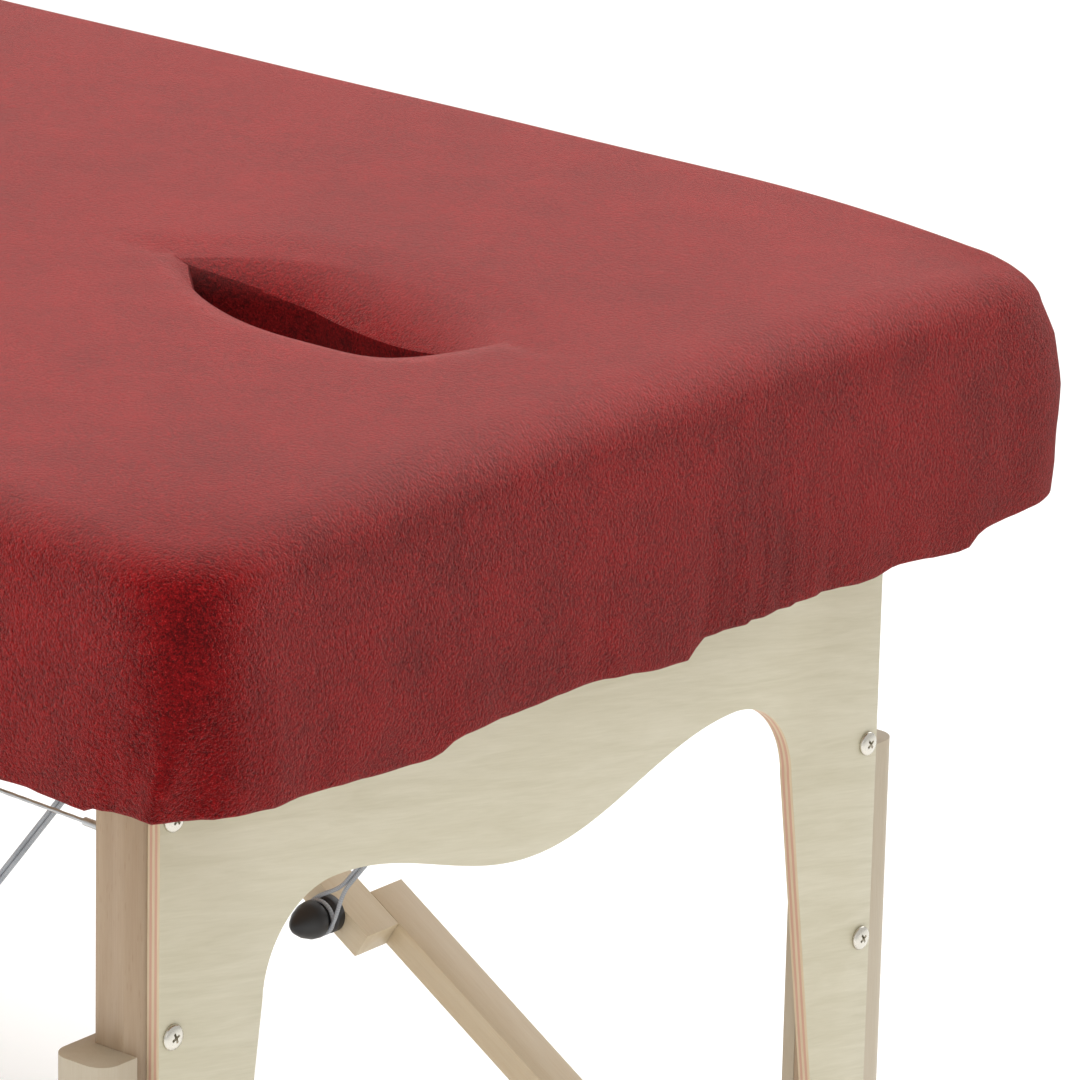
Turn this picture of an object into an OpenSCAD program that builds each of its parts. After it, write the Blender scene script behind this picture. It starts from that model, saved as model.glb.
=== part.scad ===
/* [Table] */
// Length over the cover
table_l = 1900; // [1800:10:2000]
// Width over the cover
table_w = 700; // [680:10:760]
// Height of the cover's top face
table_h = 750; // [740:5:800]

/* [Top] */
// Depth of the wooden rails
rail_h = 84; // [80:1:90]
// Thickness of the wooden rails
rail_t = 20; // [16:1:22]
// Thickness of the plywood deck
deck_t = 4; // [3:1:5]
// Thickness of the fitted cover
cover_t = 2; // [1.5:0.5:2.5]
// Radius of the pad's corners in plan
corner_r = 60; // [40:5:80]
// Radius of the pad's top edge
edge_r = 33; // [20:1:38]
// Length of the face opening
face_l = 220; // [180:10:240]
// Width of the face opening
face_w = 104; // [80:4:120]
// Distance from the table's end to the middle of the face opening
face_inset = 219; // [200:1:240]

/* [Legs] */
// Distance from the table's end to the end panel's outer face
panel_inset = 81; // [70:1:90]
// Thickness of the end panel
panel_t = 8; // [6:1:9]
// Width of the end panel
panel_w = 564; // [540:2:570]
// Size of an upper leg along the table
bar_x = 27; // [24:1:30]
// Size of an upper leg across the table
bar_y = 22; // [20:1:24]
// Chamfer on an upper leg's outer edge
bar_chamfer = 9; // [5:1:10]
// Distance between the outer faces of the upper legs
bar_span = 576; // [560:2:584]
// Height of the leg pivots above the floor
leg_pivot_z = 642; // [638:1:646]
// Height of an upper leg's lower end
bar_foot_z = 112; // [105:1:120]
// Height of a lower leg's top end
sleeve_top_z = 463; // [440:1:480]
// Wall of a lower leg outside the upper leg
sleeve_wall = 24; // [15:1:30]
// Wall of a lower leg behind the upper leg
sleeve_back = 8; // [6:1:10]
// Height of the clamp bolt
clamp_z = 185; // [180:1:200]
// Travel of a lower leg, up and down together
slide_travel = 180; // [100:10:180]
// Distance between the panel screws
screw_pitch = 110; // [90:5:120]

/* [Struts] */
// Height of the strut's pivot on the leg
knee_low_z = 122; // [110:1:150]
// Distance from the table's middle to the strut's upper pivot
knee_high_x = 60; // [52:1:76]
// Width of a strut bar across the table
strut_w = 26.4; // [20:0.2:27]
// Depth of a strut bar
strut_h = 17; // [14:1:18]
// Length of the cone peg
peg_l = 33; // [25:1:36]

/* [Hidden] */
$fn = 64;

half_l = table_l / 2;
half_w = table_w / 2;
cover_gap = 0.5;
soft_in = cover_t + cover_gap;      // the pad stands this far inside the cover
meet_gap = 0.25;                    // half of the gap between the two halves
pad_top_z = table_h - soft_in;
frame_z = table_h - 138;            // underside of the rails, level with the cover's hem
deck_z = frame_z + rail_h;
pad_z = deck_z + deck_t;
rail_out = half_w - 6;              // outer face of the side rails
rail_end = half_l - 6;              // outer face of the end rail
rail_in = rail_out - rail_t;
block_r = corner_r - 3.5;           // outer radius of the frame's corners
face_x = half_l - face_inset;

panel_x = half_l - panel_inset;     // outer face of the end panel
bar_x1 = panel_x - panel_t;
bar_x0 = bar_x1 - bar_x;
bar_out = bar_span / 2;
bar_in = bar_out - bar_y;
hinge_x = bar_x0 + 7;               // leg pivot
bar_top_z = leg_pivot_z + 13;
panel_foot_z = 225;                 // bottom of the panel's two legs
panel_top_z = bar_top_z;
pivot_r = 4;
run = 0.1;                          // radial clearance round a turning shaft

knee_low = [bar_x0 + 12, knee_low_z];
knee_high = [knee_high_x, frame_z + 5];
// Where the lower pivot lies when the legs are folded
folded_low = [hinge_x - (leg_pivot_z - knee_low_z), leg_pivot_z - (knee_low[0] - hinge_x)];
knee_span = norm(knee_low - knee_high);
knee_dir = (knee_low - knee_high) / knee_span;
knee_slope = atan2(knee_dir[1], knee_dir[0]);
// The two bars of a brace fold flat beside each other
lower_l = (knee_span - norm(folded_low - knee_high)) / 2;
upper_l = knee_span - lower_l;
elbow = knee_low - knee_dir * lower_l;
strut_end = 14;                     // a bar runs on this far past its pivot
upper_tail = 11;                    // the upper bar runs on this far past the elbow
peg_offset = -16;                   // the cone peg sits this far above the elbow
lower_y = bar_in - 0.3 - strut_w;   // inner face of the lower bars
upper_y = lower_y - 0.3 - strut_w;  // inner face of the upper bars
peg_at = elbow + knee_dir * peg_offset;

sleeve_x0 = bar_x0 - sleeve_back;
sleeve_out = bar_out + sleeve_wall;
slide_gap = 0.3;
slide_up = 80;                      // how far a leg can lengthen
slide_down = slide_travel - slide_up;
foot_h = 22;
foot_wall = 3;

stay_r = 1.75;
stay_y = upper_y - 9.5;             // the middle of the peg's groove
stay_eye = [bar_x0 - 29, frame_z + 14];
tie_r = 1;
tie_y = bar_out - bar_y / 2;
tie_leg = [bar_x0, frame_z - 45];
tie_eye = [60, frame_z - 21];

hinge_axis_z = frame_z - 3.6;
knuckle_r = 3.5;
knuckle_n = 12;
knuckle_l = 2 * rail_in / knuckle_n;
leaf_w = 28;
leaf_t = 1.4;

beech = [0.84, 0.74, 0.58];
birch = [0.86, 0.81, 0.70];
steel = [0.72, 0.72, 0.72];
fleece = [0.55, 0.13, 0.15];

// Both sides of the table
module sides() {
    children();
    mirror([0, 1, 0]) children();
}

// The other half of the table
module foot_half() {
    mirror([1, 0, 0]) children();
}

// A shaft along Y from y0 to y1 at [x, z]
module y_shaft(at, r, y0, y1) {
    translate([at[0], y0, at[1]]) rotate([-90, 0, 0]) cylinder(r = r, h = y1 - y0);
}

// A bar in a plane of constant Y from point a along dir, with square cut ends
module y_bar(a, slope, before, len, h, y0, w) {
    translate([a[0], y0, a[1]]) rotate([0, -slope, 0]) translate([-before, 0, -h / 2]) cube([before + len, w, h]);
}

// A thin rod between two points
module rod(a, b, r, sides_n = 12) {
    d = b - a;
    l = norm(d);
    translate(a) rotate([0, acos(d[2] / l), atan2(d[1], d[0])]) cylinder(r = r, h = l, $fn = sides_n + 4);
}

// A profile with a rounded top corner at x1
module round_top(x0, x1, z0, z1, r) {
    translate([x0, z0]) square([x1 - x0 - r, z1 - z0]);
    translate([x0, z0]) square([x1 - x0, z1 - z0 - r]);
    translate([x1 - r, z1 - r]) circle(r);
}

// Half of the soft top: a slab with round plan corners and a round top edge
module soft_slab(inset, z0, z1, r_plan, r_top, x0) {
    w = half_w - inset;
    e = half_l - inset;
    intersection() {
        translate([x0, -w, z0]) cube([e - x0, 2 * w, z1 - z0]);
        slab_hull(w, e, z0, z1, r_plan, r_top, x0);
    }
}

// The slab's outer shape before its lower side is cut flat
module slab_hull(w, e, z0, z1, r_plan, r_top, x0) {
    hull() {
        for (s = [-1, 1]) {
            translate([e - r_plan, s * (w - r_plan), z0]) cylinder(r = r_plan, h = z1 - z0 - r_top, $fn = 48);
            translate([e - r_plan, s * (w - r_plan), z1 - r_top]) rotate_extrude($fn = 48) intersection() {
                translate([r_plan - r_top, 0]) circle(r_top, $fn = 48);
                square([r_plan, r_top]);
            }
            translate([x0, s * (w - r_top), z1 - r_top]) rotate([0, 90, 0]) cylinder(r = r_top, h = 1, $fn = 48);
            translate([x0, s * w - (s > 0 ? 1 : 0), z0]) cube([1, 1, 1]);
        }
    }
}

// The lens-shaped face opening, as an upright prism
module face_hole(l, w, z0, z1) {
    r = (l * l + w * w) / (4 * w);
    translate([face_x, 0, z0]) intersection() {
        translate([0, r - w / 2, 0]) cylinder(r = r, h = z1 - z0, $fn = 160);
        translate([0, w / 2 - r, 0]) cylinder(r = r, h = z1 - z0, $fn = 160);
    }
}

module side_rails() {
    color(beech) sides() translate([meet_gap, rail_in, frame_z])
        cube([rail_end - block_r - meet_gap, rail_t, rail_h]);
}

module end_rail() {
    run_y = rail_out - block_r;
    color(beech) translate([rail_end - rail_t, -run_y, frame_z]) cube([rail_t, 2 * run_y, rail_h]);
}

// Curved corner pieces that join the side rails to the end rail
module corner_blocks() {
    at = [rail_end - block_r, rail_out - block_r, frame_z];
    color(beech) sides() translate(at) intersection() {
        difference() {
            cylinder(r = block_r, h = rail_h);
            translate([0, 0, -1]) cylinder(r = block_r - rail_t, h = rail_h + 2);
        }
        cube([block_r, block_r, rail_h]);
    }
}

module centre_rail() {
    color(beech) translate([meet_gap, -rail_in, frame_z]) cube([rail_t, 2 * rail_in, rail_h]);
}

module deck(open) {
    color(birch) difference() {
        translate([0, 0, deck_z]) linear_extrude(deck_t) union() {
            translate([meet_gap, -rail_out]) square([rail_end - block_r - meet_gap, 2 * rail_out]);
            translate([rail_end - block_r - 1, block_r - rail_out]) square([block_r + 1, 2 * (rail_out - block_r)]);
            for (s = [-1, 1]) translate([rail_end - block_r, s * (rail_out - block_r)]) circle(block_r);
        }
        if (open) face_hole(face_l - 4, face_w - 4, deck_z - 1, deck_z + deck_t + 1);
    }
}

module pad(open) {
    color([0.25, 0.2, 0.2]) difference() {
        soft_slab(soft_in, pad_z, pad_top_z, corner_r, edge_r, meet_gap);
        if (open) face_hole(face_l - 4, face_w - 4, pad_z - 1, pad_top_z + 1);
    }
}

// The fitted cover is one cloth; each half carries its own share of it
module cover(open) {
    color(fleece) difference() {
        soft_slab(0, frame_z, table_h, corner_r + 2, edge_r + 2, meet_gap);
        soft_slab(cover_t, frame_z - 1, table_h - cover_t, corner_r, edge_r, meet_gap - 1);
        if (open) face_hole(face_l, face_w, pad_top_z - 1, table_h + 1);
    }
}

// Wooden blocks on the side rails that carry the leg pivots
module pivot_blocks() {
    color(beech) sides() difference() {
        translate([hinge_x - 22, bar_out + 1, frame_z + 4]) cube([44, rail_in - bar_out - 1, rail_h - 4]);
        y_shaft([hinge_x, leg_pivot_z], pivot_r, bar_out, rail_in + 1);
    }
}

// Leg pivot bolts and the struts' upper pivot bolts, all fixed in the frame
module frame_bolts() {
    color(steel) sides() {
        y_shaft([hinge_x, leg_pivot_z], pivot_r, bar_in - 4, rail_in);
        y_shaft([hinge_x, leg_pivot_z], 7, bar_in - 7, bar_in - 1);
        y_shaft(knee_high, pivot_r, upper_y - 5, upper_y + strut_w + 4);
        y_shaft(knee_high, 7, upper_y - 6, upper_y - 1);
    }
}

// Steel angle plates under the deck beside the upper bars
module strut_brackets() {
    plate_y = upper_y + strut_w + 1;
    color(steel) sides() difference() {
        union() {
            translate([knee_high[0] - 13, plate_y, knee_high[1] - 8]) cube([26, 3, deck_z - knee_high[1] + 8]);
            translate([knee_high[0] - 13, plate_y, deck_z - 3]) cube([26, 26, 3]);
        }
        y_shaft(knee_high, pivot_r + 0.05, plate_y - 1, plate_y + 4);
    }
}

// A screw eye: shank up to top_z, ring lying in a plane of constant Y
module eye(at, y, top_z, r) {
    translate([at[0], y, at[1]]) rotate([90, 0, 0]) rotate_extrude() translate([r, 0]) circle(1.4, $fn = 24);
    translate([at[0], y, at[1] + r]) cylinder(r = 1.6, h = top_z - at[1] - r, $fn = 24);
}

module tie_eyes() {
    color(steel) sides() eye(tie_eye, tie_y, frame_z, 5);
    color(steel) sides() translate([tie_eye[0] - 12, tie_y - 8, frame_z]) cube([24, rail_in - tie_y + 8, 4]);
}

// Thin bare wire ropes from the upper legs to the eyes beside the middle joint
module ties() {
    color(steel) sides()
        rod([tie_eye[0] + 7, tie_y, tie_eye[1]], [tie_leg[0] - 0.3, tie_y, tie_leg[1]], tie_r);
}

// One leaf of the long hinge under the middle joint; first picks which knuckles it carries
module hinge_leaf(first) {
    color(steel) difference() {
        union() {
            translate([knuckle_r + 0.4, -rail_in + 1, frame_z - leaf_t]) cube([leaf_w, 2 * rail_in - 2, leaf_t]);
            for (i = [first : 2 : knuckle_n - 1]) {
                y0 = -rail_in + i * knuckle_l + 0.4;
                y_shaft([0, hinge_axis_z], knuckle_r, y0, y0 + knuckle_l - 0.8);
                translate([0, y0, frame_z - leaf_t]) cube([knuckle_r + 1, knuckle_l - 0.8, leaf_t]);
            }
        }
        y_shaft([0, hinge_axis_z], 1.5 + run / 2, -rail_in - 1, rail_in + 1);
    }
}

module hinge_pin() {
    color(steel) y_shaft([0, hinge_axis_z], 1.5, -rail_in, rail_in);
}

module upper_legs() {
    color(beech) sides() difference() {
        translate([0, 0, bar_foot_z]) linear_extrude(bar_top_z - bar_foot_z) polygon([
            [bar_x0, bar_in], [bar_x1, bar_in], [bar_x1, bar_out - bar_chamfer],
            [bar_x1 - bar_chamfer, bar_out], [bar_x0, bar_out]
        ]);
        y_shaft([hinge_x, leg_pivot_z], pivot_r + run, bar_in - 1, bar_out + 1);
        y_shaft(knee_low, pivot_r, bar_in - 1, bar_out + 1);
        y_shaft(knee_low, 7, bar_out - 5, bar_out + 1);
        y_shaft([bar_x0 + 14, clamp_z], pivot_r, bar_in - 1, bar_out + 1);
        y_shaft([bar_x0 + 14, clamp_z], 9, bar_in - 1, bar_in + 3.5);
    }
}

// Plywood end panel: straight legs that narrow downwards and a three-lobed arch between them
module end_panel() {
    apex_y = 157;
    apex_z = frame_z - 93;
    lobe_z = apex_z - 33;
    arc_r = 51;
    leg_in = [apex_y + arc_r, 243];
    steps = 12;
    wave = [for (i = [-steps : steps]) [i * apex_y / steps,
        (apex_z + lobe_z) / 2 - (apex_z - lobe_z) / 2 * cos(180 * i / steps)]];
    right_arc = [for (i = [1 : 8]) [apex_y + arc_r * sin(i * 11), apex_z - arc_r * (1 - cos(i * 11))]];
    left_arc = [for (i = [8 : -1 : 1]) [-right_arc[i - 1][0], right_arc[i - 1][1]]];
    outline = concat(
        [[-panel_w / 2, panel_top_z], [-panel_w / 2, panel_foot_z], [-leg_in[1], panel_foot_z]],
        left_arc, wave, right_arc,
        [[leg_in[1], panel_foot_z], [panel_w / 2, panel_foot_z], [panel_w / 2, panel_top_z]]
    );
    color(birch) translate([bar_x1, 0, 0]) rotate([90, 0, 90]) linear_extrude(panel_t) polygon(outline);
}

// Pan-head screws that hold the panel to the upper legs
module panel_screws() {
    color(steel) sides() for (i = [0 : 3])
        translate([panel_x, bar_out - 15, frame_z - 31 - i * screw_pitch]) rotate([0, 90, 0])
            intersection() {
                cylinder(r = 6.6, h = 3);
                translate([0, 0, -7]) sphere(r = 10);
            }
}

// Cross bar between the tops of the upper legs
module stretcher() {
    color(beech) difference() {
        translate([bar_x0, -bar_in, frame_z + 8]) cube([bar_x - 0.5, 2 * bar_in, 26]);
        sides() y_shaft([hinge_x, leg_pivot_z], 8.5, bar_in - 8.5, bar_in + 1);
    }
}

// Strut pivot bolts and clamp bolts, all fixed in the upper legs
module leg_bolts() {
    clamp_at = [bar_x0 + 14, clamp_z];
    color(steel) sides() {
        y_shaft(knee_low, pivot_r, lower_y + 2, bar_out - 1);
        y_shaft(knee_low, 6.8, bar_out - 4.5, bar_out - 0.5);
        y_shaft(knee_low, 6.8, lower_y + 0.5, lower_y + 5);
        y_shaft(clamp_at, pivot_r, bar_in + 1, sleeve_out + 9);
        y_shaft(clamp_at, 8.8, bar_in + 0.3, bar_in + 3.3);
        difference() {
            y_shaft(clamp_at, 10, sleeve_out + 0.3, sleeve_out + 1.5);
            y_shaft(clamp_at, pivot_r - 0.5, sleeve_out, sleeve_out + 2);
        }
    }
}

// Screw eyes in the stretcher, where the stays are tied
module stay_eyes() {
    color(steel) sides() {
        translate([stay_eye[0], stay_y, stay_eye[1]]) rotate([90, 0, 0]) rotate_extrude()
            translate([5, 0]) circle(1.4, $fn = 24);
        translate([stay_eye[0] + 5, stay_y, stay_eye[1]]) rotate([0, 90, 0])
            cylinder(r = 1.6, h = bar_x0 - stay_eye[0] - 5, $fn = 24);
    }
}

// Two strands of coated cord on each side, from the cone peg up to the eye
module stays() {
    away = (stay_eye - peg_at) / norm(stay_eye - peg_at);
    color([0.75, 0.76, 0.78]) sides() for (s = [-1, 1])
        rod([peg_at[0] + away[0] * 13 + s * 3, stay_y, peg_at[1] + away[1] * 13 - s * 2],
            [stay_eye[0] - away[0] * 8 + s * 1.9, stay_y, stay_eye[1] - away[1] * 8 - s * 1.2], stay_r);
}

// Lower bars, from the legs up to the elbow
module lower_struts() {
    color(beech) sides() difference() {
        y_bar(elbow, knee_slope, strut_end, lower_l + strut_end, strut_h, lower_y, strut_w);
        y_shaft(knee_low, pivot_r + run, lower_y - 1, lower_y + strut_w + 1);
        y_shaft(knee_low, 7.2, lower_y - 1, lower_y + 5.5);
        y_shaft(elbow, pivot_r + run, lower_y - 1, lower_y + strut_w + 1);
    }
}

// Upper bars, from the frame down to the elbow and a little past it
module upper_struts() {
    color(beech) sides() difference() {
        y_bar(knee_high, knee_slope, strut_end, upper_l + upper_tail, strut_h, upper_y, strut_w);
        y_shaft(knee_high, pivot_r + run, upper_y - 1, upper_y + strut_w + 1);
        y_shaft(peg_at, 3, upper_y - 1, upper_y + strut_w - 4);
    }
}

// Cone pegs on the inner side of the upper bars, grooved for the cord
module pegs() {
    color([0.12, 0.12, 0.12]) sides() translate([peg_at[0], upper_y, peg_at[1]]) rotate([90, 0, 0])
        rotate_extrude() polygon([
            [0, -18], [2.95, -18], [2.95, 0], [11, 0], [11, 5], [8.5, 7], [8.5, 12], [11, 14],
            [10.4, 19], [8.2, 24.5], [5.2, 29], [2, 32], [0, peg_l]
        ]);
}

// Lower leg: a round-cornered sleeve that wraps the upper leg's outer and inner-end faces
module sleeve() {
    r = 11;                         // outer corners
    color(birch) difference() {
        translate([0, 0, 6]) linear_extrude(sleeve_top_z - 6) difference() {
            union() {
                translate([sleeve_x0, bar_in]) square([bar_x1 - sleeve_x0, sleeve_out - r - bar_in]);
                translate([sleeve_x0 + r, bar_in]) square([bar_x1 - sleeve_x0 - 2 * r, sleeve_out - bar_in]);
                translate([sleeve_x0 + r, sleeve_out - r]) circle(r);
                translate([bar_x1 - r, sleeve_out - r]) circle(r);
            }
            translate([bar_x0 - slide_gap, bar_in - 1]) square([bar_x + 2, bar_y + 1 + slide_gap]);
        }
        hull() {
            y_shaft([bar_x0 + 14, clamp_z - slide_up], pivot_r + 0.3, bar_out - 2, sleeve_out + 1);
            y_shaft([bar_x0 + 14, clamp_z + slide_down], pivot_r + 0.3, bar_out - 2, sleeve_out + 1);
        }
    }
}

// Rubber foot: a cup round the lower leg's end with a flat pad under it
module rubber_foot() {
    x0 = sleeve_x0 - foot_wall;
    x1 = bar_x1 + foot_wall + 1;
    y1 = sleeve_out + foot_wall;
    color([0.15, 0.15, 0.15]) difference() {
        union() {
            translate([x0, bar_in, 0]) cube([x1 - x0, y1 - bar_in, 6]);
            translate([x0, bar_in, 0]) cube([sleeve_back + foot_wall, y1 - bar_in, foot_h]);
            translate([x0, bar_out + 1, 0]) cube([x1 - x0, y1 - bar_out - 1, foot_h]);
        }
        translate([sleeve_x0, bar_in - 1, 6]) cube([bar_x1 - sleeve_x0, sleeve_out - bar_in + 1, foot_h]);
    }
}

// Star knob on the clamp bolt
module knob() {
    lobes = 6;
    color([0.1, 0.1, 0.1]) translate([bar_x0 + 14, sleeve_out + 1.7, clamp_z]) rotate([-90, 0, 0])
        difference() {
            union() {
                cylinder(r = 13, h = 9);
                for (i = [0 : lobes - 1]) rotate([0, 0, i * 360 / lobes]) translate([12.5, 0, 1])
                    cylinder(r = 5, h = 7, $fn = 32);
            }
            translate([0, 0, -1]) cylinder(r = pivot_r + run, h = 9);
        }
}

side_rails();  // head_side_rails
corner_blocks();  // head_corner_blocks
end_rail();  // head_end_rail
centre_rail();  // head_centre_rail
deck(true);  // head_deck
pad(true);  // head_pad
cover(true);  // head_cover
pivot_blocks();  // head_pivot_blocks
frame_bolts();  // head_frame_bolts
strut_brackets();  // head_strut_brackets
tie_eyes();  // head_tie_eyes
ties();  // head_ties
hinge_leaf(0);  // head_hinge_leaf
hinge_pin();
foot_half() side_rails();  // foot_side_rails
foot_half() corner_blocks();  // foot_corner_blocks
foot_half() end_rail();  // foot_end_rail
foot_half() centre_rail();  // foot_centre_rail
foot_half() deck(false);  // foot_deck
foot_half() pad(false);  // foot_pad
foot_half() cover(false);  // foot_cover
foot_half() pivot_blocks();  // foot_pivot_blocks
foot_half() frame_bolts();  // foot_frame_bolts
foot_half() strut_brackets();  // foot_strut_brackets
foot_half() tie_eyes();  // foot_tie_eyes
foot_half() ties();  // foot_ties
foot_half() hinge_leaf(1);  // foot_hinge_leaf
upper_legs();  // head_upper_legs
end_panel();  // head_end_panel
panel_screws();  // head_panel_screws
stretcher();  // head_stretcher
leg_bolts();  // head_leg_bolts
stay_eyes();  // head_stay_eyes
stays();  // head_stays
foot_half() upper_legs();  // foot_upper_legs
foot_half() end_panel();  // foot_end_panel
foot_half() panel_screws();  // foot_panel_screws
foot_half() stretcher();  // foot_stretcher
foot_half() leg_bolts();  // foot_leg_bolts
foot_half() stay_eyes();  // foot_stay_eyes
foot_half() stays();  // foot_stays
lower_struts();  // head_lower_struts
upper_struts();  // head_upper_struts
pegs();  // head_pegs
foot_half() lower_struts();  // foot_lower_struts
foot_half() upper_struts();  // foot_upper_struts
foot_half() pegs();  // foot_pegs
sleeve();  // head_left_sleeve
mirror([0, 1, 0]) sleeve();  // head_right_sleeve
foot_half() sleeve();  // foot_left_sleeve
foot_half() mirror([0, 1, 0]) sleeve();  // foot_right_sleeve
rubber_foot();  // head_left_foot
mirror([0, 1, 0]) rubber_foot();  // head_right_foot
foot_half() rubber_foot();  // foot_left_foot
foot_half() mirror([0, 1, 0]) rubber_foot();  // foot_right_foot
knob();  // head_left_knob
mirror([0, 1, 0]) knob();  // head_right_knob
foot_half() knob();  // foot_left_knob
foot_half() mirror([0, 1, 0]) knob();  // foot_right_knob
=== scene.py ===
# %% [markdown]
# A portable massage table. The wooden frame, its hinges and its braces come
# from the CAD frame. This lesson adds what CAD leaves plain: a fitted fleece
# cover with a face opening, vinyl pads, softened wood, cross-head screws,
# braided cords, wire ropes, and a finish for every surface.

# %% Load the frame
import math

import bmesh
import bpy
import numpy as np
from mathutils import Matrix, Vector, geometry, noise


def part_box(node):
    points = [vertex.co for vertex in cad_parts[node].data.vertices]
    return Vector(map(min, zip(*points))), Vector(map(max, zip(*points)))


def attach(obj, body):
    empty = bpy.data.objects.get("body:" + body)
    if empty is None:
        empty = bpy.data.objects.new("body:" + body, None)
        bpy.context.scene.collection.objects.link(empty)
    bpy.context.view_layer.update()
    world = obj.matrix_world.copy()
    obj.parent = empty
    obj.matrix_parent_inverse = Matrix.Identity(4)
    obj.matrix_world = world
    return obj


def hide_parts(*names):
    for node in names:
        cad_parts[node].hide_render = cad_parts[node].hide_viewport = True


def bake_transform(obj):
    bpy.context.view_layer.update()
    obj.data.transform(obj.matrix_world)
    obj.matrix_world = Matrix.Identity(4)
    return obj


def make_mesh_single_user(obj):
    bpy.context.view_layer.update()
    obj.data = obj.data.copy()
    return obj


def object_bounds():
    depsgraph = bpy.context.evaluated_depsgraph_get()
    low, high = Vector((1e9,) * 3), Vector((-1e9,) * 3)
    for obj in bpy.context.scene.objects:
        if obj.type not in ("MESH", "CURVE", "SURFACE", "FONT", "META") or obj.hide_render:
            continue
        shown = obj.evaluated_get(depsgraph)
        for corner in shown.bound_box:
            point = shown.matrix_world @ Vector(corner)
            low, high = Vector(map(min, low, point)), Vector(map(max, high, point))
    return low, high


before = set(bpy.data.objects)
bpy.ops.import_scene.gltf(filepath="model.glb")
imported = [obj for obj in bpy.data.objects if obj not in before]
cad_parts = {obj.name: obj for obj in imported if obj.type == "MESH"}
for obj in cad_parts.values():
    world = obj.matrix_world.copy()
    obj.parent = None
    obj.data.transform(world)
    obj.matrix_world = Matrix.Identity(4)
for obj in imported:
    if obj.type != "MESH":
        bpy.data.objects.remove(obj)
cad_low, cad_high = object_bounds()
print("CAD box", [round(v, 3) for v in (*cad_low, *cad_high)])

# %% [markdown]
# The camera looks down the near corner of the head end with a long lens, so
# the lines along the table hardly converge. Its target is a point just inside
# the end panel, and its place follows from two angles and a distance.

# %% Camera
panel_low, panel_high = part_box("head_end_panel")
top_z = cad_high[2]
target = Vector((panel_high.x - 0.100, 0.119, top_z - 0.151))
azimuth, elevation, roll = (math.radians(v) for v in (38.91, 18.54, 1.29))
distance = 3.743
back = Vector((
    math.sin(azimuth) * math.cos(elevation),
    -math.cos(azimuth) * math.cos(elevation),
    math.sin(elevation),
))
level = Vector((math.cos(azimuth), math.sin(azimuth), 0))
rise = back.cross(level)
side = level * math.cos(roll) + rise * math.sin(roll)
rise = back.cross(side)
lens_data = bpy.data.cameras.new("camera")
lens_data.lens = 242.7
lens_data.sensor_width = 36
camera = bpy.data.objects.new("camera", lens_data)
turned = Matrix((side, rise, back)).transposed().to_4x4()
camera.matrix_world = Matrix.Translation(target + back * distance) @ turned
bpy.context.scene.collection.objects.link(camera)
bpy.context.scene.camera = camera
print("camera at", [round(v, 3) for v in camera.matrix_world.translation])

# %% [markdown]
# A bright sky of one tone, a large soft light high above the near side, a weak
# one past the head end and a third on the far side give studio light with
# hardly any shadow. The floor is a plain pale sheet, far larger than the table.

# %% Light and floor
scene = bpy.context.scene
scene.view_settings.view_transform = "Standard"
world = bpy.data.worlds.new("studio")
world.use_nodes = True
sky = world.node_tree.nodes["Background"]
sky.inputs["Color"].default_value = (1.0, 0.995, 0.985, 1)
sky.inputs["Strength"].default_value = 0.76
scene.world = world


def soft_light(name, place, aim, size, watts):
    lamp = bpy.data.lights.new(name, "AREA")
    lamp.shape = "DISK"
    lamp.size = size
    lamp.energy = watts
    lamp_object = bpy.data.objects.new(name, lamp)
    way = (Vector(aim) - Vector(place)).to_track_quat("-Z", "Y")
    lamp_object.matrix_world = Matrix.Translation(place) @ way.to_matrix().to_4x4()
    scene.collection.objects.link(lamp_object)
    print("light", name, watts, "W")


soft_light("key", (0.9, -0.7, 4.1), (0.6, 0, 0.6), 1.8, 104)
soft_light("fill", (2.6, -2.4, 1.6), (0.7, 0, 0.5), 2.2, 4)
soft_light("rim", (0.5, 3.2, 2.4), (0.6, 0, 0.7), 2.0, 22)


# %% [markdown]
# Shaders are easier to read as sums. `Wire` wraps a socket, so that adding or
# multiplying wires adds Math nodes, and `Finish.node` makes every other node
# from its type, its settings and the values of its sockets.

# %% Shader helpers
class Wire:
    """An output socket that takes part in plain arithmetic."""

    def __init__(self, finish, socket):
        self.finish, self.socket = finish, socket

    def maths(self, operation, *values, clamp=False):
        given = {i: v for i, v in enumerate(values)}
        settings = {"operation": operation, "use_clamp": clamp}
        return self.finish.node("ShaderNodeMath", settings, given)

    def __add__(self, other):
        return self.maths("ADD", self, other)

    def __radd__(self, other):
        return self.maths("ADD", other, self)

    def __sub__(self, other):
        return self.maths("SUBTRACT", self, other)

    def __rsub__(self, other):
        return self.maths("SUBTRACT", other, self)

    def __mul__(self, other):
        return self.maths("MULTIPLY", self, other)

    def __rmul__(self, other):
        return self.maths("MULTIPLY", other, self)

    def __pow__(self, other):
        return self.maths("POWER", self, other)

    def held(self):
        """The value kept between 0 and 1."""
        return self.maths("ADD", self, 0.0, clamp=True)

    def whole(self):
        return self.maths("FLOOR", self)

    def between(self, low, high):
        """0 below low, 1 above high, smooth between."""
        return self.finish.node(
            "ShaderNodeMapRange",
            {"interpolation_type": "SMOOTHSTEP"},
            {"Value": self, "From Min": low, "From Max": high},
        )


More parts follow.
